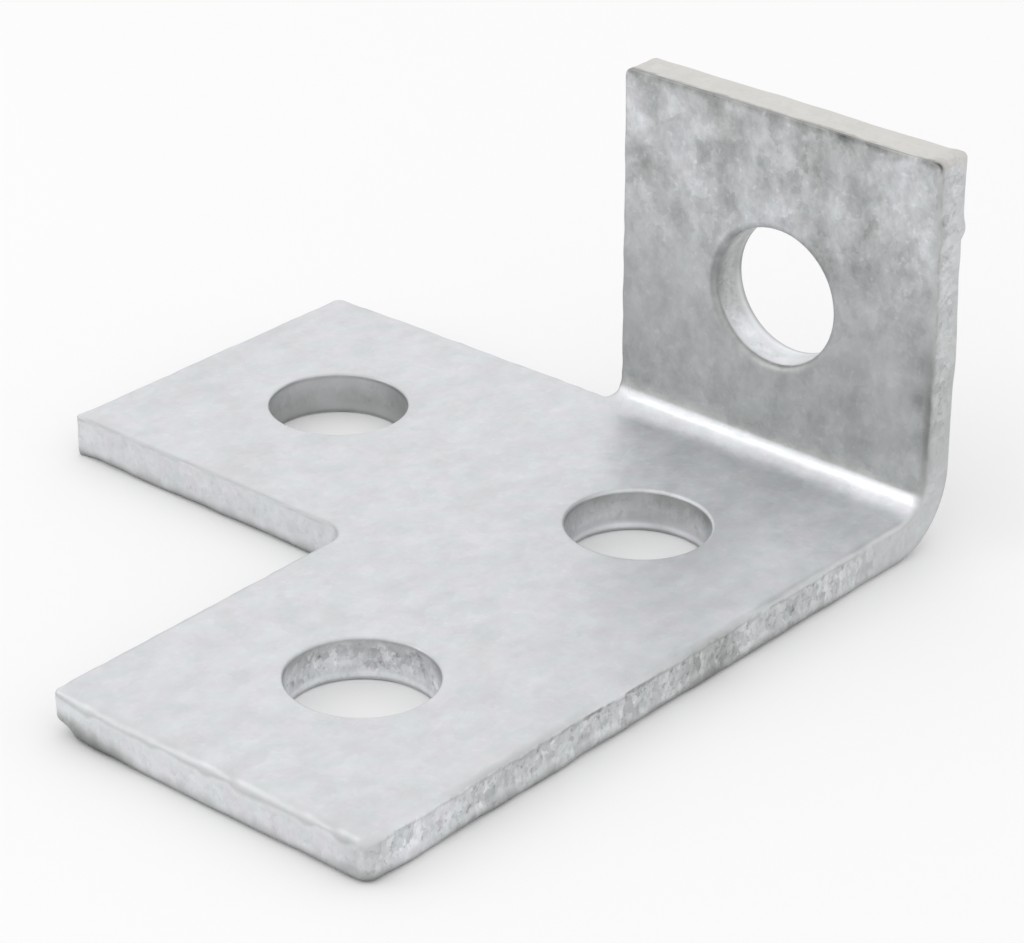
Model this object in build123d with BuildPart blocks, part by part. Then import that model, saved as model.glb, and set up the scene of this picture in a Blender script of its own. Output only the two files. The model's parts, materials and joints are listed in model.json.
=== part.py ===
from build123d import *
import os

# A corner brace for framing, in millimetres: a blank punched from steel plate and folded once.
# The base is an L of two flat arms that meet at a corner, and the upright is folded up from that corner.
# The origin is the centre of the corner bolt hole, on the underside of the base. The front arm runs
# towards -Y, the left arm towards -X, and the fold lies along X on the +Y side of the corner.

# Plate
thickness = 4.8
front_arm_width = 40.6  # the upright is as wide
left_arm_width = 41.8
upright_height = 38.4  # above the base

# Bolt holes, all of one size
hole_diameter = 14.9
hole_pitch = 41.6  # from the corner hole to the hole in either arm
upright_hole_height = 18.0  # above the base

# Plate beyond the bolt holes
left_end_margin = 19.0
front_end_margin = 21.3
fold_margin = 21.2  # from the corner hole to the inner face of the upright
rear_setback = 0.5  # from that inner face forward to the left arm's rear edge

# Radii
bend_radius = 3.5  # inside the fold
inner_corner_radius = 2.5  # in the two inside corners of the blank
outer_corner_radius = 1.4  # on its outside corners
roll_radius = 0.8  # where the blanking die drew the outline down, on the outer side
rim_radius = 0.3  # where the punch drew the hole rims in, on the inner side

# Edges that follow from these sizes
right_edge = front_arm_width / 2
left_edge = -front_arm_width / 2
left_end = -hole_pitch - left_end_margin
front_end = -hole_pitch - front_end_margin
rear_edge = fold_margin - rear_setback
left_arm_front = rear_edge - left_arm_width
left_arm_reach = left_edge - left_end
upright_back = fold_margin + thickness
upright_top = thickness + upright_height

with BuildPart() as corner_brace:
    # The folded plate, as wide as the whole blank: a bent line with the plate's thickness laid on its
    # outer side.
    with BuildSketch(Plane.YZ.offset(left_end)):
        with BuildLine():
            FilletPolyline(
                (front_end, thickness),
                (fold_margin, thickness),
                (fold_margin, upright_top),
                radius=bend_radius,
            )
            offset(amount=thickness, side=Side.RIGHT)
        make_face()
    extrude(amount=right_edge - left_end)

    # Left of the upright nothing stands above the base, so the left arm is flat on top.
    with BuildSketch(Plane.XY.offset(thickness)):
        with Locations((left_edge, front_end)):
            Rectangle(left_arm_reach, upright_back - front_end, align=(Align.MAX, Align.MIN))
    extrude(amount=upright_height, mode=Mode.SUBTRACT)

    # The plate is cut away in front of the left arm and behind it, with a round inside corner each time.
    # The corner behind the arm runs out on the outer side of the fold, as it does on a folded blank.
    in_front = (left_arm_front, left_arm_front - front_end, Align.MAX)
    behind = (rear_edge, upright_back - rear_edge, Align.MIN)
    for arm_edge, depth, align_y in (in_front, behind):
        with BuildSketch(Plane.XY) as cut_away:
            with Locations((left_edge, arm_edge)):
                Rectangle(left_arm_reach, depth, align=(Align.MAX, align_y))
            inside_corner = cut_away.vertices().sort_by_distance((left_edge, arm_edge))[0]
            fillet(inside_corner, inner_corner_radius)
        extrude(amount=thickness, mode=Mode.SUBTRACT)

    # The blank's outside corners: those of the base stand along Z, those of the upright lie along Y.
    base_corners = corner_brace.edges().filter_by(Axis.Z).filter_by_position(Axis.Z, 0, thickness)
    outside_corners = base_corners.filter_by(Edge.is_interior, reverse=True)
    upright_corners = corner_brace.edges().filter_by(Axis.Y).group_by(Axis.Z)[-1]
    fillet(outside_corners + upright_corners, outer_corner_radius)

    # Bolt holes: one at the corner and one in each arm of the base, and one in the upright.
    with Locations((0, 0, thickness), (-hole_pitch, 0, thickness), (0, -hole_pitch, thickness)):
        Hole(hole_diameter / 2, depth=thickness)
    upright_hole_centre = (0, fold_margin, thickness + upright_hole_height)
    with Locations(Plane(upright_hole_centre, x_dir=(1, 0, 0), z_dir=(0, -1, 0))):
        Hole(hole_diameter / 2, depth=thickness)

    # The outline's edge on the outer side is one smooth chain round the arms, the fold and the upright.
    # A fillet on its front stretch runs along the whole chain.
    front_stretch = corner_brace.edges().filter_by(Axis.X).group_by(Axis.Z)[0].sort_by(Axis.Y)[0]
    fillet(front_stretch, roll_radius)

    # The holes' rims on the inner side, which faces up on the base and forwards on the upright.
    base_top = corner_brace.faces().filter_by(Axis.Z).group_by(Axis.Z)[1].face()
    upright_front = corner_brace.faces().filter_by(Axis.Y).group_by(Axis.Y)[-2].face()
    fillet(base_top.inner_wires().edges() + upright_front.inner_wires().edges(), rim_radius)

corner_brace.part.label = "corner_brace"
os.makedirs("parts", exist_ok=True)
export_step(corner_brace.part, "parts/corner_brace.step")
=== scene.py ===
# %% [markdown]
# # A galvanised corner brace
# The real object is one blank of steel plate, punched to its outline with four round bolt holes, folded
# once and then dipped in molten zinc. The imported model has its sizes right, but a solid has perfectly flat
# faces. This lesson builds the same plate again as one closed skin, so that its punched edges, rolled rims
# and soft zinc coat can be real geometry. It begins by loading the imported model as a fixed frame.

# %% Load the frame
import itertools
import json
import math

import bmesh
import bpy
import numpy as np
from mathutils import Matrix, Vector


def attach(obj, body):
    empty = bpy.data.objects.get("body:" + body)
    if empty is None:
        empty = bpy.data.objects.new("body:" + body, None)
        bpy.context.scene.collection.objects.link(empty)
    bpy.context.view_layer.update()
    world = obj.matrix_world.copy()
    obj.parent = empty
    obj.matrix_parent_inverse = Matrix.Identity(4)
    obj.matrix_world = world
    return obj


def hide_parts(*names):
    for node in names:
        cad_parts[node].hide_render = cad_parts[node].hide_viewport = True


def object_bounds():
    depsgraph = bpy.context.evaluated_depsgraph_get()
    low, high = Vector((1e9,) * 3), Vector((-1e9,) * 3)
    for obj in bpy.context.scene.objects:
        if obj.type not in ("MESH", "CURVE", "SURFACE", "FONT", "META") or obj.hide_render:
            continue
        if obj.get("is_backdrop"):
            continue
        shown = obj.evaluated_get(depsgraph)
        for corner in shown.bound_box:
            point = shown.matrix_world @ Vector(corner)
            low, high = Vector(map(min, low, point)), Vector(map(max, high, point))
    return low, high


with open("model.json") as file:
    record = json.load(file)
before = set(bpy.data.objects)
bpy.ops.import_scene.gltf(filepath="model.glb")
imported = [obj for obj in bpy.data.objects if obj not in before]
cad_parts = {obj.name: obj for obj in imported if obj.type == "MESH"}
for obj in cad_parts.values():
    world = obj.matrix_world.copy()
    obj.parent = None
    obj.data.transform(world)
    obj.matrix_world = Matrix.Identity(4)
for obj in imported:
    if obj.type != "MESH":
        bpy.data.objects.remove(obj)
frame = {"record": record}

cad_low, cad_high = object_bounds()
print("CAD box in mm:", [round(v * 1000, 2) for v in (*cad_low, *cad_high)])

# %% [markdown]
# ## The camera
# A product photograph is taken from some way off with a long lens, so that straight edges stay nearly
# parallel. The camera's place and lens were worked out from the brace's own straight edges and the ovals of
# its holes. Three angles turn it: round the object, up from the floor, and a slight roll of the picture.
# A look-at constraint would also work, but writing out the three axes keeps the roll exact.

# %% Camera
camera_place = Vector((0.208996, -0.268914, 0.183638))
azimuth, elevation, roll = (math.radians(a) for a in (40.0341, 26.9685, 0.9498))
backwards = Vector(
    (
        math.sin(azimuth) * math.cos(elevation),
        -math.cos(azimuth) * math.cos(elevation),
        math.sin(elevation),
    )
)
level = (-backwards).cross(Vector((0, 0, 1))).normalized()
upwards = level.cross(-backwards)
camera_right = level * math.cos(roll) + upwards * math.sin(roll)
camera_up = upwards * math.cos(roll) - level * math.sin(roll)

camera_data = bpy.data.cameras.new("camera")
camera_data.sensor_width = 36.0
camera_data.lens = 132.699
camera_data.clip_start, camera_data.clip_end = 0.01, 10.0
camera = bpy.data.objects.new("camera", camera_data)
camera_axes = Matrix((camera_right, camera_up, backwards)).transposed().to_4x4()
camera.matrix_world = Matrix.Translation(camera_place) @ camera_axes
bpy.context.scene.collection.objects.link(camera)
bpy.context.scene.camera = camera
print("camera is", round(camera_place.length * 1000), "mm from the corner hole")

# %% [markdown]
# ## The blank
# Before the fold, the brace is a flat blank. Every point of it has three coordinates in millimetres: x
# across, s along the plate from the corner hole towards the upright's top, and h up from its outer face.
# Working on the flat blank is simpler than modelling the folded shape, because an edge or a hole is made the
# same way wherever it is. One function folds everything at the end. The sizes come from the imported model's
# box and mounts, apart from the fold's radius and the left arm's two edges, which are in neither.

# %% Sizes of the blank, in millimetres
mounts = {m["name"]: [v * 1000 for v in m["pos_m"]] for m in frame["record"]["mounts"]}
hole_radius = next(m["dims"]["r_mm"] for m in frame["record"]["mounts"] if m["kind"] == "bore")
thickness = mounts["base_top"][2]
hole_pitch = -mounts["left_hole"][0]
bend_radius = 3.5
left_end, front_end = cad_low.x * 1000, cad_low.y * 1000
half_width = cad_high.x * 1000
arm_front, arm_rear = -21.1, 20.7
outer_radius = bend_radius + thickness
neutral_radius = bend_radius + thickness / 2
fold_line = cad_high.y * 1000 - outer_radius
upright_foot = fold_line + neutral_radius * math.pi / 2
upright_top = upright_foot + cad_high.z * 1000 - outer_radius
upright_hole = upright_foot + mounts["upright_hole"][2] - outer_radius
print("blank: %.1f mm wide, %.1f mm long" % (half_width - left_end, upright_top - front_end))


# %% Fold the blank
def smooth(t):
    """Eases from 0 to 1: three times t squared less twice t cubed, and flat outside that range."""
    t = np.clip(t, 0, 1)
    return t * t * (3 - 2 * t)


# Left of the upright and behind the left arm, where the plate begins to be drawn up, and over how far
side_start, side_reach = -23.0, 3.2
rear_start, rear_reach = 0.5, 2.5


def fold(x, s, h):
    """The folded place of points on the blank. Up to the fold line a point keeps its place. In the fold it
    turns about the fold's axis, by its distance past the line over the neutral radius, at the outer radius
    less h. Past the fold it stands upright. Left of the upright the plate stays flat, and the last few
    millimetres beside the upright are drawn part of the way up with it."""
    angle = np.clip((s - fold_line) / neutral_radius, 0, math.pi / 2)
    radius = outer_radius - h
    y = np.minimum(s, fold_line) + radius * np.sin(angle)
    z = outer_radius - radius * np.cos(angle) + np.maximum(s - upright_foot, 0)
    beside = smooth((x - side_start) / side_reach)
    behind = smooth((s - arm_rear - rear_start) / rear_reach)
    drawn = np.maximum(beside, behind)
    return np.stack([x, s + (y - s) * drawn, h + (z - h) * drawn], -1)


# %% [markdown]
# ## Random but repeatable
# Torn metal and zinc have no formula, so their lumps come from smooth noise. Blender's own noise would need
# a loop over points, while a small lattice of seeded random numbers, read between its points with numpy,
# gives whole arrays at once and the same brace on every run.


# %% Noise
lattice_side = 32  # cubes along each side of the lattice, after which the pattern repeats


def noise(points, size, seed):
    """Smooth random heights between about -1 and 1, with lumps about size across. The eight corners of a
    point's lattice cube are averaged, each with the product of its three eased distances."""
    lattice = np.random.default_rng(seed).uniform(-1, 1, [lattice_side] * 3)
    place = points / size
    cube = np.floor(place).astype(int)
    share = smooth(place - cube)
    total = 0
    for corner in itertools.product((0, 1), repeat=3):
        weight = np.where(corner, share, 1 - share).prod(-1)
        i, j, k = np.moveaxis((cube + corner) % lattice_side, -1, 0)
        total = total + weight * lattice[i, j, k]
    return total


def pebbles(points, size, seed):
    """Rounded pebbles about size across: the distance to the nearest of one random point in each lattice
    cube, over size, so 0 at a pebble's middle and about 1 in the creases between them."""
    offsets = np.random.default_rng(seed).uniform(0, 1, [lattice_side] * 3 + [3])
    place = points / size
    cube = np.floor(place).astype(int)
    nearest = np.full(place.shape[:-1], np.inf)
    for neighbour in itertools.product((-1, 0, 1), repeat=3):
        near = cube + neighbour
        i, j, k = np.moveaxis(near % lattice_side, -1, 0)
        gap = near + offsets[i, j, k] - place
        nearest = np.minimum(nearest, np.sqrt((gap * gap).sum(-1)))
    return nearest


# %% [markdown]
# ## Four cells, each round a bolt hole
# The blank falls into four rough squares with a hole in the middle of each, and the fold between two of
# them. A face with a hole could be cut with a boolean, but that leaves long thin triangles that shade badly.
# Instead each cell is a grid of two parameters: how far round the hole, and how far out from its rim to the
# square. Neighbouring cells have the same points along the side they share, so they join without a seam.

# %% Grids
step = 0.68  # between points round a cell, in millimetres
inset = 2.5  # from the outline to the cells
rim_margin = 1.1  # from a hole's wall to its cell
inner_face_rows, outer_face_rows = 13, 7
fold_steps = 20


def count(length):
    """How many steps of the grid fit in a length."""
    return max(2, round(length / step))


def grid_faces(rows, columns, closed):
    """Quads between the points of a grid that are numbered row by row. A closed grid joins its last column
    to its first."""
    i = np.arange(rows - 1)[:, None] * columns
    j = np.arange(columns if closed else columns - 1)[None, :]
    k = (j + 1) % columns
    return np.stack([i + j, i + k, i + columns + k, i + columns + j], -1).reshape(-1, 4)


def square_round(low, high):
    """Points at even steps round a rectangle, anticlockwise from its low corner, with the angle at which
    each meets the hole: a side of the rectangle faces a quarter of the rim."""
    (x0, s0), (x1, s1) = low, high
    nx, ns = count(x1 - x0), count(s1 - s0)
    along, upward = np.arange(nx) / nx, np.arange(ns) / ns
    x = np.concatenate([x0 + (x1 - x0) * along, np.full(ns, x1), x1 - (x1 - x0) * along, np.full(ns, x0)])
    s = np.concatenate([np.full(nx, s0), s0 + (s1 - s0) * upward, np.full(nx, s1), s1 - (s1 - s0) * upward])
    quarter = np.concatenate([along, 1 + upward, 2 + along, 3 + upward])
    return x, s, (quarter - 1.5) * math.pi / 2


skin_points, skin_faces = [], []
paint_names = ("cut", "torn", "line", "grey", "warm")


def keep(columns, faces):
    """Adds points and faces to the skin. The first columns are x, s and h on the blank. The others are
    painted numbers, in the order of paint_names, and those that are left out are 0."""
    start = sum(len(p) for p in skin_points)
    width = 3 + len(paint_names)
    columns = np.broadcast_arrays(*columns, *[0.0] * (width - len(columns)))
    skin_points.append(np.stack(columns, -1).reshape(-1, width))
    skin_faces.extend((faces + start).tolist())


x_in, x_left = half_width - inset, left_end + inset
s_front, s_arm, s_rear = front_end + inset, arm_front + inset, arm_rear - inset
s_foot, s_top = upright_foot + 0.3, upright_top - inset
cells = {
    "corner": ((0, 0), (-x_in, s_arm), (x_in, s_rear)),
    "left": ((-hole_pitch, 0), (x_left, s_arm), (-x_in, s_rear)),
    "front": ((0, -hole_pitch), (-x_in, s_front), (x_in, s_arm)),
    "upright": ((0, upright_hole), (-x_in, s_foot), (x_in, s_top)),
}
for (hx, hs), low, high in cells.values():
    x, s, angle = square_round(low, high)
    rim_x = hx + (hole_radius + rim_margin) * np.cos(angle)
    rim_s = hs + (hole_radius + rim_margin) * np.sin(angle)
    for face_height, rows in ((thickness, inner_face_rows), (0.0, outer_face_rows)):
        out = np.linspace(0, 1, rows)[:, None]
        grid = (rim_x + (x - rim_x) * out, rim_s + (s - rim_s) * out, face_height)
        keep(grid, grid_faces(rows, len(x), True))

fold_rows = np.linspace(s_rear, s_foot, fold_steps + 1)[:, None]
fold_columns = np.linspace(-x_in, x_in, count(2 * x_in) + 1)[None, :]
for face_height in (thickness, 0.0):
    keep((fold_columns, fold_rows, face_height), grid_faces(fold_steps + 1, fold_columns.size, False))
print("face grids:", len(skin_faces), "quads")

# %% [markdown]
# ## The punched outline
# A punch shears the blank's edge in stages, and each leaves its own band: a soft rolled edge where the
# metal was drawn down, a smooth band, and a torn, pitted zone that ends in a ragged line at the other face.
# The zinc then softens all of it. A bevel can't show those bands, so the edge is a profile carried along the
# outline: from the inner face over a soft edge, down the torn wall, round the rolled edge and back under.
# The blank wasn't punched quite square either, so its corners are placed a few tenths off where the
# measured edges lean.

# %% The outline's corners and sides
outline = [
    # place, radius: positive outside corners, negative inside corners
    ((-half_width + 0.25, front_end), 0.8),
    ((half_width, front_end), 1.7),
    ((half_width, upright_top), 0.7),
    ((-half_width - 0.15, upright_top), 1.2),
    ((-half_width + 0.7, arm_rear + 0.5), -2.5),
    ((left_end, arm_rear - 0.1), 1.2),
    ((left_end, arm_front), 0.5),
    ((-half_width - 0.7, arm_front), -2.5),
]
inner_stops = [
    # the points of the cells and the fold that the strip joins, in the same order, one list for each side
    [(-x_in, s_front), (x_in, s_front)],
    [(x_in, s_front), (x_in, s_arm), (x_in, s_rear), (x_in, s_foot), (x_in, s_top)],
    [(x_in, s_top), (-x_in, s_top)],
    [(-x_in, s_top), (-x_in, s_foot), (-x_in, s_rear)],
    [(-x_in, s_rear), (x_left, s_rear)],
    [(x_left, s_rear), (x_left, s_arm)],
    [(x_left, s_arm), (-x_in, s_arm)],
    [(-x_in, s_arm), (-x_in, s_front)],
]
side_names = ["front", "right", "top", "upright left", "rear", "left end", "arm front", "inner side"]
fine = 3  # steps of the strip for each step of the cells beside it


def side(start, end, radii, stops):
    """One side of the outline, from the middle of one rounded corner to the middle of the next. For each
    point of the cells along it, the point of the outline opposite and the direction out of the plate there.
    On a corner's arc that direction turns with the distance along over the radius. The half arcs get four
    grid steps each, and the steps are evened out over the next nine millimetres. The last result is the room
    for a rounding: less than the radius on an outside corner, where directions meet, and more beyond it."""
    start, end = np.array(start, float), np.array(end, float)
    length = np.linalg.norm(end - start)
    along = (end - start) / length
    outward = np.array([along[1], -along[0]])
    inner = []
    for a, b in zip(stops, stops[1:]):
        is_fold = {round(a[1], 6), round(b[1], 6)} == {round(s_rear, 6), round(s_foot, 6)}
        steps = fine * (fold_steps if is_fold else count(math.dist(a, b)))
        inner.append(np.array(a) + (np.array(b) - a) * (np.arange(steps) / steps)[:, None])
    inner = np.concatenate(inner)
    distance = (inner - inner[0]) @ along
    inner_length = float((np.array(stops[-1]) - inner[0]) @ along)

    (ra, rb), sign_a, sign_b = np.abs(radii), np.sign(radii[0]), np.sign(radii[1])
    arc_a, arc_b = ra * math.pi / 4, rb * math.pi / 4
    path_length = arc_a + length - ra - rb + arc_b
    even, half_arc, no_limit = 9.0, 4 * step, 9.0
    stops_in = [0, half_arc, even, inner_length - even, inner_length - half_arc, inner_length]
    near_b = path_length - (arc_b + even + sign_b * inset - rb)
    stops_out = [0, arc_a, arc_a + even + sign_a * inset - ra, near_b, path_length - arc_b, path_length]
    path = np.interp(distance, stops_in, stops_out)

    turn_a = np.maximum(arc_a - path, 0) / ra
    turn_b = np.maximum(path - (path_length - arc_b), 0) / rb
    turn = sign_b * turn_b - sign_a * turn_a
    direction = np.cos(turn)[:, None] * outward + np.sin(turn)[:, None] * along
    straight = np.clip(path - arc_a + ra, ra, length - rb)
    place = start + straight[:, None] * along
    bulge = np.where(turn_a > 0, sign_a * ra, np.where(turn_b > 0, sign_b * rb, 0.0))
    place = place + bulge[:, None] * (direction - outward)
    room_a = 0.55 * ra + 0.3 * np.maximum(path - arc_a, 0) if sign_a > 0 else no_limit
    room_b = 0.55 * rb + 0.3 * np.maximum(path_length - arc_b - path, 0) if sign_b > 0 else no_limit
    return inner, place, direction, path / path_length, np.minimum(room_a, room_b)


# %% [markdown]
# ## Wear, side by side
# The sides of one blank aren't cut alike: a worn punch tears some of them more, and the zinc runs thicker on
# others. So each side has its own numbers, which blend into the next side's round the corner. Some of them
# are painted shade rather than wear, and on the front end painted light.

# %% Each side's wear
wear = {
    # torn wall, soft edge across the face, soft edge down the wall, crease below that edge, cut in and
    # painted as a shadow line, painted shade on the edge that dims the lamp's highlight, grey on the wall
    # (less than
    # none on the front end: painted light), height of the rolled lower edge
    "front": (0.30, 1.50, 1.30, 0.00, 0.26, -0.06, 0.9),
    "right": (1.00, 0.90, 0.50, 0.15, 0.14, 0.12, 0.9),
    "top": (0.15, 0.25, 0.26, 0.55, 0.32, 0.03, 0.7),
    "upright left": (0.60, 0.50, 0.40, 0.40, 0.20, 0.15, 0.8),
    "rear": (0.50, 0.60, 0.40, 0.40, 0.15, 0.10, 0.8),
    "left end": (0.50, 0.60, 0.40, 0.30, 0.15, 0.08, 1.1),
    "arm front": (0.30, 0.60, 0.35, 0.20, 0.28, 0.01, 0.9),
    "inner side": (0.60, 0.70, 0.40, 0.30, 0.15, 0.08, 1.1),
}
sides = len(outline)
blend = 2  # millimetres past a corner until a side has its own numbers
strip_parts = []
for i, ((a, radius_a), stops) in enumerate(zip(outline, inner_stops)):
    b, radius_b = outline[(i + 1) % sides]
    inner_i, place_i, direction_i, share, room_i = side(a, b, (radius_a, radius_b), stops)
    before, here, after = (np.array(wear[side_names[j % sides]]) for j in (i - 1, i, i + 1))
    length = math.dist(a, b)
    levels = [np.interp(share * length, [0, blend, length - blend, length], v)
              for v in zip((before + here) / 2, here, here, (here + after) / 2)]
    strip_parts.append((inner_i, place_i, direction_i, room_i + 0 * share, *levels))
inner, place, direction, room, torn, soft_across, soft_down, creased, edge_shade, wall_grey, roll_up = (
    np.concatenate(v) for v in zip(*strip_parts)
)
print("outline:", len(place), "steps,", round(
    float(np.linalg.norm(np.diff(place, axis=0, append=place[:1]), axis=1).sum()), 1), "mm round")


# %% Places along the outline
def near(spot_x, spot_s, reach):
    """1 at a spot on the outline, easing to 0 at reach millimetres from it."""
    return smooth(1 - np.hypot(place[:, 0] - spot_x, place[:, 1] - spot_s) / reach)


on_path = np.concatenate([place, np.zeros((len(place), 1))], 1)
along_s = place[:, 1]
on_right = smooth((place[:, 0] - half_width + 3) / 2)
on_top = smooth((along_s - upright_top + 1.2) / 0.5)
standing = smooth((along_s - upright_foot + 3) / 5)

# Stretches of the right edge, from the near corner up: bright, torn, dull, the fold, and just above it
bright_stretch = on_right * smooth((-45 - along_s) / 12)
torn_stretch = on_right * np.exp(-(((along_s + 29) / 7) ** 2))
dull_stretch = on_right * np.exp(-(((along_s + 13) / 4) ** 2))
in_fold = on_right * smooth((along_s - fold_line + 11) / 8) * smooth((upright_foot + 8 - along_s) / 6)
above_fold = on_right * np.exp(-(((along_s - upright_foot - 7) / 7) ** 2))

# By the corners: a larger rolled lower edge at the worn ones, painted shade reaching higher up the wall
# beside the front ones, a greyer wall by the right front one, and a darker notch on the upright's top
left_corner, near_corner = near(-half_width, front_end, 7), near(half_width, front_end, 5)
left_patch = near(-half_width + 5.5, front_end, 9)
tip, notch = near(left_end, arm_front, 5), near(half_width, upright_top, 1.6)

creased = np.minimum(creased + 0.65 * torn_stretch, 1)
torn = torn * (1 - 0.7 * in_fold) * (1 - 0.35 * on_right * standing)
wall_grey = wall_grey + 0.22 * dull_stretch - 0.16 * bright_stretch + 0.05 * on_right * standing
wall_grey = wall_grey + 0.12 * above_fold + 0.26 * near_corner
# painted shade on the soft edge, where it dims the lamp's highlight
edge_shade = edge_shade - 0.06 * on_right * standing + 0.24 * above_fold + 0.5 * notch
edge_shade = edge_shade - 0.18 * torn_stretch - 0.16 * bright_stretch

# %% Where the outline strays from straight
# The upright's right edge leans inwards towards its top, and a small knob of zinc stands out of it.
above_foot = along_s - upright_foot
lean = 0.55 * smooth((above_foot - 12) / 21)
knob = 0.3 * np.exp(-(((above_foot - 26.8) / 0.9) ** 2))
above_knob = on_right * smooth((above_foot - 25.4) / 0.8)
stray = 0.05 * torn * (1 + noise(on_path, 3.0, 60)) + 0.02 * (1 + noise(on_path, 9.0, 61))
place[:, 0] -= on_right * (lean - knob)
place = place - direction * np.minimum(stray, 0.2 * room)[:, None]
print("the right edge leans in by up to %.2f mm" % (on_right * lean).max())

# %% The profile carried along it
edge_rows, wall_rows, roll_rows = 6, 14, 6
soft_across = np.minimum(soft_across * (1 + 0.35 * noise(on_path, 2.2, 1)), room)
soft_down = soft_down * (1 + 0.3 * noise(on_path, 1.4, 2))
roll_up = roll_up + 0.6 * left_corner + 0.9 * tip + 0.3 * near_corner + 0.2 * noise(on_path, 3.0, 3)
roll_up = roll_up * (1 - 0.55 * above_knob)
roll_under = np.minimum(roll_up, room)

quarter_in = np.linspace(0, math.pi / 2, edge_rows)[:, None]
edge_back = soft_across * (1 - np.sin(quarter_in))
edge_height = thickness - soft_down * (1 - np.cos(quarter_in))
jag = 0.5 + 0.45 * noise(on_path, 1.1, 4) + 0.35 * noise(on_path, 0.45, 5)
crease_height = (thickness - soft_down - 0.06 - 0.55 * creased * np.clip(jag, 0, 1))[None, :]
down = np.linspace(0, 1, wall_rows + 1)[:-1, None] ** 1.1
wall_height = (crease_height - 0.12) * (1 - down) + roll_up * down
quarter_out = np.linspace(0, math.pi / 2, roll_rows)[:, None]
roll_back = roll_under * (1 - np.cos(quarter_out))
roll_height = roll_up * (1 - np.sin(quarter_out))
back = np.concatenate([edge_back, 0 * crease_height, 0 * wall_height, roll_back])
height = np.concatenate([edge_height, crease_height, wall_height, roll_height])
edge_share = quarter_in / (math.pi / 2) + 0 * edge_back
cut = np.concatenate([edge_share, 1 + 0 * crease_height, 1 + 0 * wall_height,
                      1 - quarter_out / (math.pi / 2) + 0 * roll_back])

# %% The torn wall
strip = np.concatenate([np.broadcast_to(place, (len(back), *place.shape)), height[..., None]], -1)
smooth_band = 1.3 + 0.5 * noise(on_path, 2.5, 6)
tear_start = 0.2 + 0.8 * np.clip(1 - torn, 0, 1)
in_tear = smooth((crease_height - height) / tear_start) * smooth((height - smooth_band) / 0.5)
# Flakes slant up the wall: their pattern moves along by half the height, and is stretched upwards.
slanted = strip @ np.array([[1, 0, 0], [0, 1, 0], [0.5, 0.5, 0.6]])
scales = pebbles(slanted, 1.25, 7)
chips = pebbles(slanted, 0.62, 8)
depth = torn * (in_tear * (0.02 + 0.12 * scales + 0.10 * chips) + 0.02 * (1 + noise(strip, 1.8, 10)))
# The crease is cut in a little, and the same numbers paint a shadow line along it.
on_crease = np.zeros_like(height)
on_crease[edge_rows - 1:edge_rows + 1] = creased * smooth(0.75 + 0.8 * noise(on_path, 2.6, 11)
                                                          + 0.5 * noise(on_path, 0.7, 12))
depth += 0.12 * on_crease
print("torn wall: up to %.2f mm deep" % depth.max())

# %% Paint the strip
# The base's wall has painted shade low down and round its rolled lower edge, most beside the worn left corner
# and less near the fold. A soft edge has painted shade part of the way down, further down on the front end,
# where it dims the lamp's highlight. The upright's right wall has painted shade near its inner face.
faces_front = smooth(-2 * direction[:, 1] - 1)
low_top = 1.40 + 0.3 * faces_front + 0.5 * noise(on_path, 2.2, 13) + 0.35 * noise(on_path, 0.8, 14)
low_top = low_top + 0.4 * left_corner + 1.0 * near_corner + 1.3 * left_patch
low_shade = (0.24 + 0.44 * left_patch) * smooth((low_top - height) / (1.3 + 0.9 * left_patch))
low_shade = (low_shade + 0.20 * smooth((0.9 - height) / 0.9)) * (1 - standing) * (1 - 0.6 * in_fold)
on_edge = np.zeros_like(height)
on_edge[:edge_rows] = np.sin(math.pi * edge_share ** (1.6 + 0.8 * faces_front))
near_inner_face = smooth((height - 3.0) / 1.4)
grey = cut * (wall_grey + 0.12 * on_right * standing * near_inner_face) + edge_shade * on_edge + low_shade
torn_level = torn * smooth((cut - 0.5) / 0.5) * (0.5 + 0.5 * in_tear)
warm = cut * on_top
print("grey on the punched edge: %.2f to %.2f" % (grey.min(), grey.max()))

# %% Join the strip to the cells
edge_x = place[:, 0] - direction[:, 0] * (back + depth)
edge_s = place[:, 1] - direction[:, 1] * (back + depth)
ease = np.array([0.35, 0.7])[:, None]  # two rows, at these shares of the way from the cells to the edge
rows_x = [inner[:, 0] + (edge_x[0] - inner[:, 0]) * ease, edge_x,
          edge_x[-1] + (inner[:, 0] - edge_x[-1]) * (1 - ease[::-1])]
rows_s = [inner[:, 1] + (edge_s[0] - inner[:, 1]) * ease, edge_s,
          edge_s[-1] + (inner[:, 1] - edge_s[-1]) * (1 - ease[::-1])]
rows_h = [thickness + 0 * rows_x[0], height, 0 * rows_x[2]]
plain, under = 0 * rows_x[0], 0 * rows_x[2]
strip_grid = [np.concatenate(rows) for rows in (rows_x, rows_s, rows_h)]
strip_grid += [np.concatenate([plain, painted, under])
               for painted in (cut, torn_level, on_crease, grey * (cut > 0), warm)]
keep(strip_grid, grid_faces(*strip_grid[0].shape, True))


def join_faces(coarse, fine_columns):
    """Faces between a ring of points and a ring with more of them: each side of the first ring faces
    several of the second, and together they make one polygon."""
    i = np.arange(coarse)
    corners = [i, (i + 1) % coarse]
    corners += [coarse + (i * fine + k) % fine_columns for k in range(fine, -1, -1)]
    return np.stack(corners, -1)


for row, face_height in ((0, thickness), (-1, 0.0)):
    ring = inner[::fine]
    fine_ring = [v[row] for v in strip_grid]
    level = 0 * ring[:, 0]
    coarse_ring = [ring[:, 0], ring[:, 1], face_height + level] + [level] * len(paint_names)
    both = [np.concatenate(v) for v in zip(coarse_ring, fine_ring)]
    keep(both, join_faces(len(ring), len(fine_ring[0])))

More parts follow.
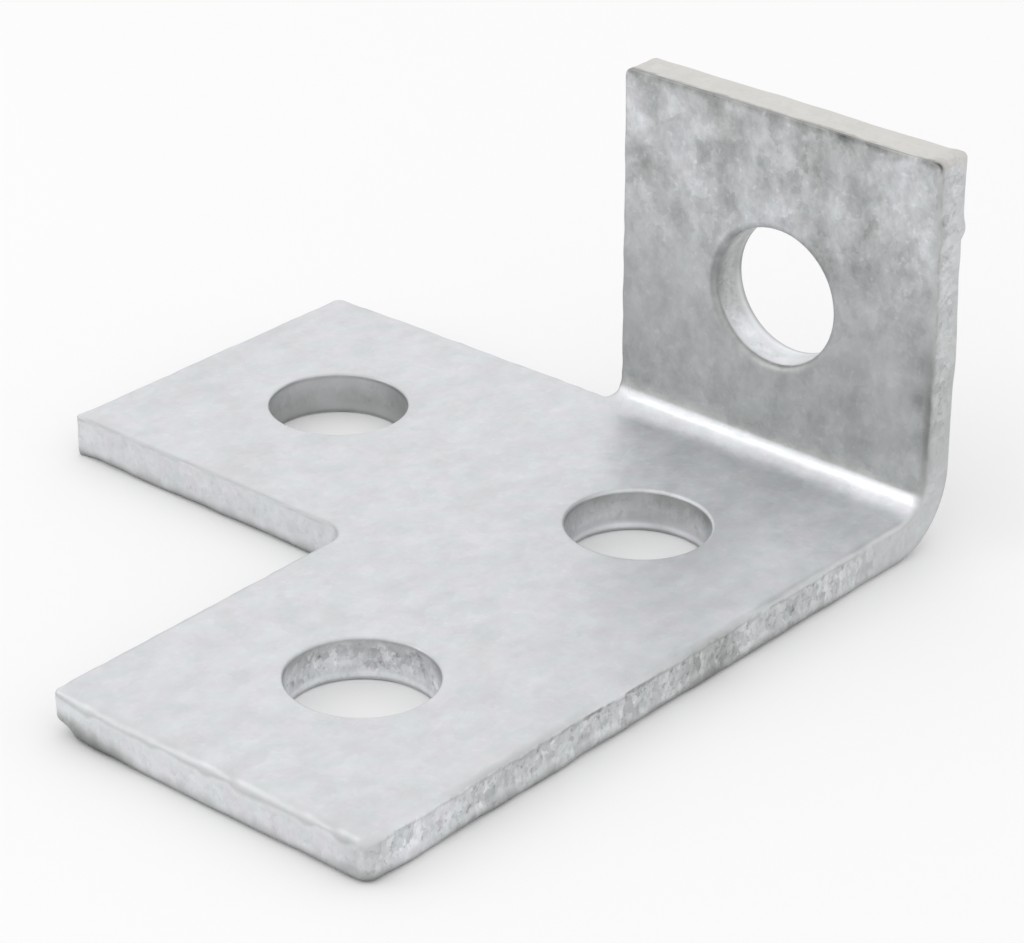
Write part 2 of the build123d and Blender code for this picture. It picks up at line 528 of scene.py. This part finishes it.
# %% [markdown]
# ## The bolt holes
# A pierced hole is sheared from the inner face: its rim is drawn in there, then comes a short smooth band,
# and the middle of the wall is torn a little wider. Zinc that drained down the wall can set as a lip near
# the far edge. A boolean would give a plain wall, so each hole is a profile carried round a circle instead,
# from the cell's inner ring on one face to its ring on the other, and has its own numbers.

# %% Hole walls
hole_wear = {
    # torn wall, width of the drawn-in rim, zinc lip with a painted highlight, painted shade high on the wall,
    # painted shade low on the wall
    "corner": (0.35, 0.40, 0.20, 0.30, 0.12),
    "left": (0.20, 0.35, 0.00, 0.15, 0.28),
    "front": (1.10, 0.40, 0.08, 0.18, -0.10),
    "upright": (0.40, 0.80, 0.06, 0.34, 0.34),
}
far_edge, hole_rows = 0.22, 14  # radius of the edge on the outer face, and points down the wall
turn_in = np.linspace(0, math.pi / 2, 5)
turn_out = np.linspace(0, math.pi / 2, 4)
for seed, (name, ((hx, hs), low, high)) in enumerate(cells.items()):
    torn_hole, rim_roll, lip, high_grey, low_hole_grey = hole_wear[name]
    wall = np.linspace(thickness - rim_roll, far_edge, hole_rows)[1:-1]
    hole_out = np.concatenate([[rim_margin, (rim_margin + rim_roll) / 2], rim_roll * (1 - np.sin(turn_in)),
                               0 * wall, far_edge * (1 - np.cos(turn_out)), [0.7, rim_margin]])[:, None]
    hole_height = np.concatenate([[thickness, thickness], thickness - rim_roll * (1 - np.cos(turn_in)), wall,
                                  far_edge * (1 - np.sin(turn_out)), [0.0, 0.0]])[:, None]
    angle = square_round(low, high)[2][None, :]
    wall_place = np.stack(np.broadcast_arrays(hx + hole_radius * np.cos(angle),
                                              hs + hole_radius * np.sin(angle), hole_height), -1)
    in_wall = smooth((hole_height - 0.1) / 0.2) * smooth((thickness - 0.6 * rim_roll - hole_height) / 0.25)
    low_band = 1.4 + 0.4 * noise(wall_place * (1, 1, 0), 2.0, 20 + seed)
    high_band = thickness - 0.9 + 0.5 * noise(wall_place * (1, 1, 0), 1.5, 25 + seed)
    tear = smooth((hole_height - low_band) / 0.3) * smooth((high_band - hole_height) / 0.3) * in_wall
    rough = pebbles(wall_place * (1, 1, 0.7), 0.9, 30 + seed)
    ridges = noise(wall_place * (0.3, 0.3, 1.6), 0.8, 35 + seed)
    below_rim = in_wall * smooth((thickness - rim_roll - hole_height) / 1.2)
    wider = torn_hole * (tear * 0.12 * rough + 0.03 * below_rim * (1 + ridges))
    uneven = 1 + 0.4 * noise(wall_place * (1, 1, 0), 2.5, 40 + seed)
    on_lip = np.exp(-(((hole_height - 0.75) / 0.35) ** 2)) * uneven * smooth((0.5 - hole_out) / 0.2)
    radius = hole_radius + hole_out + wider - lip * on_lip
    falling = smooth((thickness - 0.6 - hole_height) / 2.4)
    # Painted shade on the wall, a painted highlight on the lip, and painted shade where the wall turns under.
    hole_grey = in_wall * (high_grey + (low_hole_grey - high_grey) * falling)
    hole_grey = hole_grey - 2.2 * lip * on_lip + 0.45 * in_wall * smooth((0.60 - hole_height) / 0.3)
    hole_grey = hole_grey - 0.15 * torn_hole * falling * in_wall * ridges
    hole_grey = hole_grey + 0.12 * in_wall * noise(wall_place, 2.2, 45 + seed)
    # The upright's hole has painted shade on the left of its rim and a painted highlight at the foot of its
    # wall. The rims in the base have painted shade towards their walls, which dims their highlight.
    if name == "upright":
        rim_zone = smooth((hole_height - 2.6) / 1.4) * smooth((rim_margin - 0.2 - hole_out) / 0.5)
        hole_grey = hole_grey + 0.16 * rim_zone * np.maximum(np.cos(angle - math.radians(175)), 0)
        hole_grey = hole_grey - 0.48 * in_wall * np.maximum(np.cos(angle - math.radians(258)), 0) ** 2
    else:
        rim_depth = np.clip((thickness - hole_height) / rim_roll, 0, 1) * smooth(hole_height - thickness / 2)
        hole_grey = hole_grey + 0.40 * rim_depth * (1 - in_wall)
    torn_wall = torn_hole * in_wall * (0.35 + 0.65 * tear)
    grid = (hx + radius * np.cos(angle), hs + radius * np.sin(angle), hole_height, in_wall, torn_wall,
            0.0, hole_grey, 0.0)
    keep(grid, grid_faces(len(hole_height), angle.size, True))
print("hole walls: %d rows round each of %d holes" % (len(hole_height), len(cells)))

# %% [markdown]
# ## Paint on the blank
# The zinc isn't one grey. On the upright's inner face it is darker, most near the fold, with paler patches
# higher up. Along the inside of the fold it lies in a smoother bead, with a painted highlight on it. An image
# could hold all that, but numbers that each point carries into the material need no unwrapping. Grey takes
# light away, and much of it is painted shade; mottled says how strongly the coat's own pattern shows.

# %% Faces of the blank
points = np.concatenate(skin_points)
on_blank, painted = points[:, :3], dict(zip(paint_names, points[:, 3:].T))
x, s, h = on_blank.T
cut, grey = painted["cut"], painted["grey"]
inner_face = smooth((h - thickness / 2) / 0.5) * (1 - cut)
outer_face = smooth((thickness / 2 - h) / 0.5) * (1 - cut)
bend_angle = np.degrees(np.clip((s - fold_line) / neutral_radius, 0, math.pi / 2))
upright_z = s - upright_foot + bend_radius
on_upright = inner_face * smooth((bend_angle - 58) / 10)

patches = [
    # across, height above the base, size, how much greyer
    (-1.0, 26.5, 3.5, -0.20),
    (-11.0, 35.0, 3.0, -0.08),
    (13.5, 34.5, 3.0, -0.13),
    (8.5, 24.5, 4.5, 0.12),
    (3.0, 35.0, 4.0, 0.04),
    (-14.0, 20.0, 5.0, -0.03),
    (16.0, 8.0, 6.0, -0.05),
    (0.0, 6.0, 6.0, 0.03),
    # small pale strokes and one dark spot near the top
    (-12.2, 41.0, 1.1, -0.18),
    (-10.0, 42.2, 1.3, -0.12),
    (-6.4, 41.3, 1.2, -0.12),
    (-16.0, 39.2, 1.5, -0.10),
    (-19.2, 40.0, 1.4, -0.14),
    (-19.2, 35.6, 1.6, -0.14),
    (-19.2, 37.8, 0.9, 0.16),
    # dark blotches low on the right edge, painted shade where that edge rolls over
    (19.2, 8.0, 1.5, 0.20),
    (19.2, 12.5, 1.5, 0.16),
    (19.3, 16.5, 1.3, 0.20),
]
streaks = noise(on_blank * (1, 0.55, 1), 2.6, 75) * smooth((upright_z - 18) / 12)
upright_grey = 0.20 + 0.22 * np.clip(1 - upright_z / 30, 0, 1) ** 1.2 + 0.04 * noise(on_blank, 5.0, 72)
upright_grey = upright_grey - 0.15 * streaks
for patch_x, patch_z, size, greyer in patches:
    upright_grey += greyer * np.exp(-((x - patch_x) ** 2 + (upright_z - patch_z) ** 2) / size ** 2)
border = 1.0 + 0.4 * noise(on_blank, 1.3, 76)
near_top = smooth((s - upright_top + border) / 0.5)
grey = grey + on_upright * (upright_grey + 0.26 * near_top)
grey += outer_face * (0.16 + 0.08 * noise(on_blank, 6.0, 73))
near_fold = smooth((s + 5) / 15) * smooth((x + 19) / 8)
towards_right = smooth((x - 8) / 8) * smooth((s + 20) / 15)
grey -= inner_face * (1 - on_upright) * (0.08 * near_fold + 0.13 * towards_right)
mottled = inner_face * (0.20 + 0.08 * near_fold * (1 - on_upright))
mottled += on_upright * (0.10 + 0.34 * smooth((upright_z - 14) / 16)) + 0.30 * outer_face

# %% The bead along the fold
# Its middle, reach to each side and softness are in degrees round the fold, and it widens to the right. It
# lies where the lamp's highlight falls: the bead is smoother there, and its brighter tone is a painted
# highlight.
bead_middle, bead_softness = 49, 6.5
bead_reach = 3.0 + 2.0 * smooth((x + 18) / 34)
wobble = 2.0 * noise(on_blank, 3.0, 70) + 1.5 * noise(on_blank, 1.0, 71)
off_middle = np.abs(bend_angle + wobble - bead_middle)
bead = inner_face * smooth((bead_reach - off_middle) / bead_softness + 0.5) * smooth((x + 19) / 2)
bead *= 0.85 + 0.25 * noise(on_blank, 1.4, 74)
print("bead on %d points, grey from %.2f to %.2f" % ((bead > 0.5).sum(), grey.min(), grey.max()))

# %% The worn front left corner
# Its lower part is pushed in towards the plate, most at the underside, and the push fades with distance.
# The skin would fold over itself if the push were more than two thirds of its reach.
push_most, push_reach, push_height = 1.7, 3.2, 2.2
from_corner = np.hypot(x + half_width - 0.25, s - front_end)
low_down = smooth((push_height - h) / push_height)
push = push_most * smooth(1 - from_corner / push_reach) * low_down / math.sqrt(2)
worn_x, worn_s = x + push, s + push

# %% Fold and merge
skin = bpy.data.meshes.new("brace_skin")
skin.from_pydata(fold(worn_x, worn_s, h) / 1000, [], skin_faces)
painted.update(grey=grey, mottled=mottled, bead=bead)
for name, values in painted.items():
    skin.attributes.new(name, "FLOAT", "POINT").data.foreach_set("value", values.astype(np.float32))
blank_place = skin.attributes.new("blank_place", "FLOAT_VECTOR", "POINT")
blank_place.data.foreach_set("vector", on_blank.astype(np.float32).ravel())
merge_distance = 2e-6  # metres
work = bmesh.new()
work.from_mesh(skin)
bmesh.ops.remove_doubles(work, verts=work.verts, dist=merge_distance)
bmesh.ops.recalc_face_normals(work, faces=work.faces)
open_edges = sum(not e.is_manifold for e in work.edges)
work.to_mesh(skin)
work.free()

# %% [markdown]
# ## The coat's swells
# Molten zinc doesn't set flat. Each point moves a few hundredths of a millimetre inwards along its normal,
# never outwards, so the brace stays within its measured size.

# %% Coat
spots = np.empty(len(skin.vertices) * 3, np.float32)
normals = np.empty_like(spots)
skin.vertices.foreach_get("co", spots)
skin.vertex_normals.foreach_get("vector", normals)
spots, normals = spots.reshape(-1, 3).astype(float), normals.reshape(-1, 3)
swell = 0.016 * (1 + noise(spots * 1000, 5.0, 50)) + 0.010 * (1 + noise(spots * 1000, 2.2, 51))
spots -= normals * swell[:, None] / 1000
skin.vertices.foreach_set("co", spots.astype(np.float32).ravel())
skin.shade_smooth()
skin.update()
brace = bpy.data.objects.new("corner_brace_galvanised", skin)
bpy.context.scene.collection.objects.link(brace)
triangles = sum(len(p.vertices) - 2 for p in skin.polygons)
print("skin:", len(skin.vertices), "points,", triangles, "triangles,", open_edges, "open edges")

# %% [markdown]
# ## The zinc finish
# Hot-dip zinc is a metal, so nearly all of its colour is what it reflects: the pale floor, the studio and
# its own folded faces. What sets it apart from bare steel is its mottle: soft clouds, flakes where it
# crystallised, and fine grain. An image could hold that, but patterns worked out from each point's place on
# the flat blank have no seams, and they follow the plate round the fold as the real coat does. The painted
# numbers then say where each one shows.

# %% Small helpers for the finish
zinc = bpy.data.materials.new("galvanised_zinc")
zinc.use_nodes = True
nodes, links = zinc.node_tree.nodes, zinc.node_tree.links
shader = nodes["Principled BSDF"]


def painted_number(name, output="Fac"):
    """The value that each point of the skin carries under a name."""
    node = nodes.new("ShaderNodeAttribute")
    node.attribute_name = name
    return node.outputs[output]


def calculate(operation, *values):
    """One sum on numbers or on other nodes' results."""
    node = nodes.new("ShaderNodeMath")
    node.operation = operation
    for socket, value in zip(node.inputs, values):
        if isinstance(value, bpy.types.NodeSocket):
            links.new(value, socket)
        else:
            socket.default_value = value
    return node.outputs[0]


def placed(size, along=1.0, deep=1.0, shift=0.0):
    """The place on the blank, over size in millimetres, drawn out along s and through the thickness."""
    node = nodes.new("ShaderNodeMapping")
    node.inputs["Location"].default_value = (shift, shift, shift)
    node.inputs["Scale"].default_value = (1 / size, 1 / size / along, 1 / size / deep)
    links.new(painted_number("blank_place", "Vector"), node.inputs["Vector"])
    return node.outputs["Vector"]


def spread(value, low, high):
    """Stretches a value so that low becomes 0 and high becomes 1."""
    node = nodes.new("ShaderNodeMapRange")
    node.inputs["From Min"].default_value = low
    node.inputs["From Max"].default_value = high
    links.new(value, node.inputs["Value"])
    return node.outputs["Result"]


def clouded(size, along=1.0, detail=2.0, shift=0.0, low=0.3, high=0.7, roughness=0.5):
    """Cloudy noise with lumps about size across."""
    node = nodes.new("ShaderNodeTexNoise")
    node.inputs["Scale"].default_value = 1.0
    node.inputs["Detail"].default_value = detail
    node.inputs["Roughness"].default_value = roughness
    links.new(placed(size, along, 1.0, shift), node.inputs["Vector"])
    return spread(node.outputs["Fac"], low, high)


def flaked(size, along=1.0, deep=1.0, shift=0.0, ragged=0.3):
    """Flakes about size across, each with its own random level. Noise pushes their borders out of line."""
    push = nodes.new("ShaderNodeTexNoise")
    push.inputs["Scale"].default_value = 1.6
    push.inputs["Detail"].default_value = 3.0
    place = placed(size, along, deep, shift)
    links.new(place, push.inputs["Vector"])
    moved = nodes.new("ShaderNodeVectorMath")
    moved.operation = "MULTIPLY_ADD"
    moved.inputs[1].default_value = (ragged * 2, ragged * 2, ragged * 2)
    links.new(push.outputs["Color"], moved.inputs[0])
    links.new(place, moved.inputs[2])
    node = nodes.new("ShaderNodeTexVoronoi")
    node.feature = "F1"
    node.inputs["Scale"].default_value = 1.0
    links.new(moved.outputs["Vector"], node.inputs["Vector"])
    split = nodes.new("ShaderNodeSeparateColor")
    links.new(node.outputs["Color"], split.inputs["Color"])
    return split.outputs["Red"]


# %% Patterns, each from 0 to 1
clouds = clouded(3.0, along=1.4, detail=6.0, roughness=0.62)
blotches = flaked(1.8, along=1.4, ragged=0.6)
flecks = flaked(0.6, shift=9.0, ragged=0.5)
coat = calculate("MULTIPLY_ADD", flecks, 0.14, calculate("MULTIPLY_ADD", blotches, 0.22,
                                                         calculate("MULTIPLY", clouds, 0.64)))
specks = clouded(0.9, detail=2.0, shift=7.0, low=0.62, high=0.72)
# The torn wall's flakes, chips and pits are painted light and shade for how its small facets catch the light.
wall_flakes = flaked(1.2, deep=1.5, shift=4.0, ragged=0.6)
wall_chips = flaked(0.5, deep=1.3, shift=2.0, ragged=0.5)
wall = calculate("MULTIPLY_ADD", wall_chips, 0.42, calculate("MULTIPLY", wall_flakes, 0.58))
pit_shade = clouded(0.8, detail=3.0, shift=5.0, low=0.60, high=0.68)

# %% Tone
# tone = 1 - grey + mottled * (coat - 0.5) + 0.2 * mottled * specks + 0.54 * torn * (wall - 0.5)
#        - 0.25 * torn * pit_shade - 0.5 * line + 0.15 * bead
# Much of grey is painted shade. The torn wall's flakes and pits are painted light and shade for its facets,
# line is a painted shadow along the crease, and the bead's term is a painted highlight.
cut_paint, torn_wall_shading, crease_shadow_paint, grey_paint, warm_paint, mottled_paint, bead_paint = (
    painted_number(n) for n in ("cut", "torn", "line", "grey", "warm", "mottled", "bead"))
tone = calculate("SUBTRACT", 1.0, grey_paint)
tone = calculate("MULTIPLY_ADD", mottled_paint, calculate("SUBTRACT", coat, 0.5), tone)
tone = calculate("MULTIPLY_ADD", calculate("MULTIPLY", mottled_paint, specks), 0.2, tone)
tone = calculate("MULTIPLY_ADD", torn_wall_shading, calculate("MULTIPLY_ADD", wall, 0.54, -0.27), tone)
tone = calculate("MULTIPLY_ADD", calculate("MULTIPLY", torn_wall_shading, pit_shade), -0.25, tone)
# a painted shadow along the crease below the soft edge
tone = calculate("MULTIPLY_ADD", crease_shadow_paint, -0.5, tone)
# a painted highlight along the bead
tone = calculate("MULTIPLY_ADD", bead_paint, 0.15, tone)


# %% Colour, roughness and bump
def mixed(amount, first, second):
    """One colour turning into another by an amount from 0 to 1. Either may be another node's result."""
    node = nodes.new("ShaderNodeMix")
    node.data_type = "RGBA"
    links.new(amount, node.inputs["Factor"])
    for socket, colour in (("A", first), ("B", second)):
        if isinstance(colour, bpy.types.NodeSocket):
            links.new(colour, node.inputs[socket])
        else:
            node.inputs[socket].default_value = (*colour, 1)
    return node.outputs["Result"]


greenish_zinc, pinkish_zinc = (0.690, 0.716, 0.728), (0.711, 0.704, 0.731)
clean_zinc = mixed(clouded(2.6, detail=1.0, shift=13.0), greenish_zinc, pinkish_zinc)
# Greyer parts, painted shade among them, turn towards a greyed tint; the upright's top edge is warmer.
greyed_zinc, warm_edge_grey = (0.70, 0.715, 0.71), (0.71, 0.70, 0.67)
zinc_tint = mixed(calculate("MULTIPLY", grey_paint, 2.5), clean_zinc, greyed_zinc)
coloured = nodes.new("ShaderNodeVectorMath")
coloured.operation = "SCALE"
links.new(mixed(warm_paint, zinc_tint, warm_edge_grey), coloured.inputs[0])
links.new(tone, coloured.inputs["Scale"])
links.new(coloured.outputs["Vector"], shader.inputs["Base Color"])
shader.inputs["Metallic"].default_value = 1.0

rough = calculate("MULTIPLY_ADD", clouds, 0.08, 0.34)
rough = calculate("MULTIPLY_ADD", cut_paint, 0.06, rough)
rough = calculate("MULTIPLY_ADD", mottled_paint, 0.25, rough)
rough = calculate("MULTIPLY_ADD", bead_paint, -0.2, rough)
links.new(rough, shader.inputs["Roughness"])

bump = nodes.new("ShaderNodeBump")
bump.inputs["Strength"].default_value = 0.6
bump.inputs["Distance"].default_value = 0.00004
links.new(clouds, bump.inputs["Height"])
links.new(bump.outputs["Normal"], shader.inputs["Normal"])
skin.materials.append(zinc)
print("zinc finish:", len(nodes), "nodes")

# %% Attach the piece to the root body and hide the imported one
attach(brace, "root")
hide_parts("corner_brace")

# %% [markdown]
# ## Floor and light
# Metal needs something plain to reflect. The brace stands on a wide sheet of pale paper in an even white
# room, which is how a light tent works. One wide, faint lamp low on the left gives the bead along the fold
# its highlight, which the bead's painted highlight brightens.

# %% Floor
floor_mesh = bpy.data.meshes.new("floor")
half = 3.0  # of the floor's width, in metres
floor_mesh.from_pydata([(-half, -half, 0), (half, -half, 0), (half, half, 0), (-half, half, 0)],
                       [], [(0, 1, 2, 3)])
floor = bpy.data.objects.new("floor", floor_mesh)
bpy.context.scene.collection.objects.link(floor)
floor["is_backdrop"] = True
paper = bpy.data.materials.new("paper")
paper.use_nodes = True
paper_shader = paper.node_tree.nodes["Principled BSDF"]
paper_shader.inputs["Base Color"].default_value = (0.95, 0.95, 0.95, 1)
paper_shader.inputs["Roughness"].default_value = 1.0
paper_shader.inputs["Specular IOR Level"].default_value = 0.0
floor_mesh.materials.append(paper)

# %% Light
world = bpy.data.worlds.new("studio")
bpy.context.scene.world = world
world.use_nodes = True
sky = world.node_tree.nodes["Background"]
sky.inputs["Color"].default_value = (1, 1, 1, 1)
sky.inputs["Strength"].default_value = 1.0


def softbox(name, aim, direction, distance, size, power):
    """A square lamp at a distance from a point, in a direction, that faces the point."""
    lamp_data = bpy.data.lights.new(name, "AREA")
    lamp_data.size = size
    lamp_data.energy = power
    lamp = bpy.data.objects.new(name, lamp_data)
    towards = Vector(direction).normalized()
    lamp.matrix_world = (Matrix.Translation(Vector(aim) + towards * distance)
                         @ towards.to_track_quat("Z", "Y").to_matrix().to_4x4())
    bpy.context.scene.collection.objects.link(lamp)


softbox("low_left_box", aim=(0, 0, 0.01), direction=(-0.573, -0.676, 0.463),
        distance=0.6, size=0.3, power=0.2)

bpy.context.scene.view_settings.view_transform = "Standard"

# %% [markdown]
# ## Sizes
# Both boxes are printed: the imported model's near the start, and the built brace's here.

# %% Sizes
low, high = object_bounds()
print("visual box in mm:", [round(v * 1000, 2) for v in (*low, *high)])
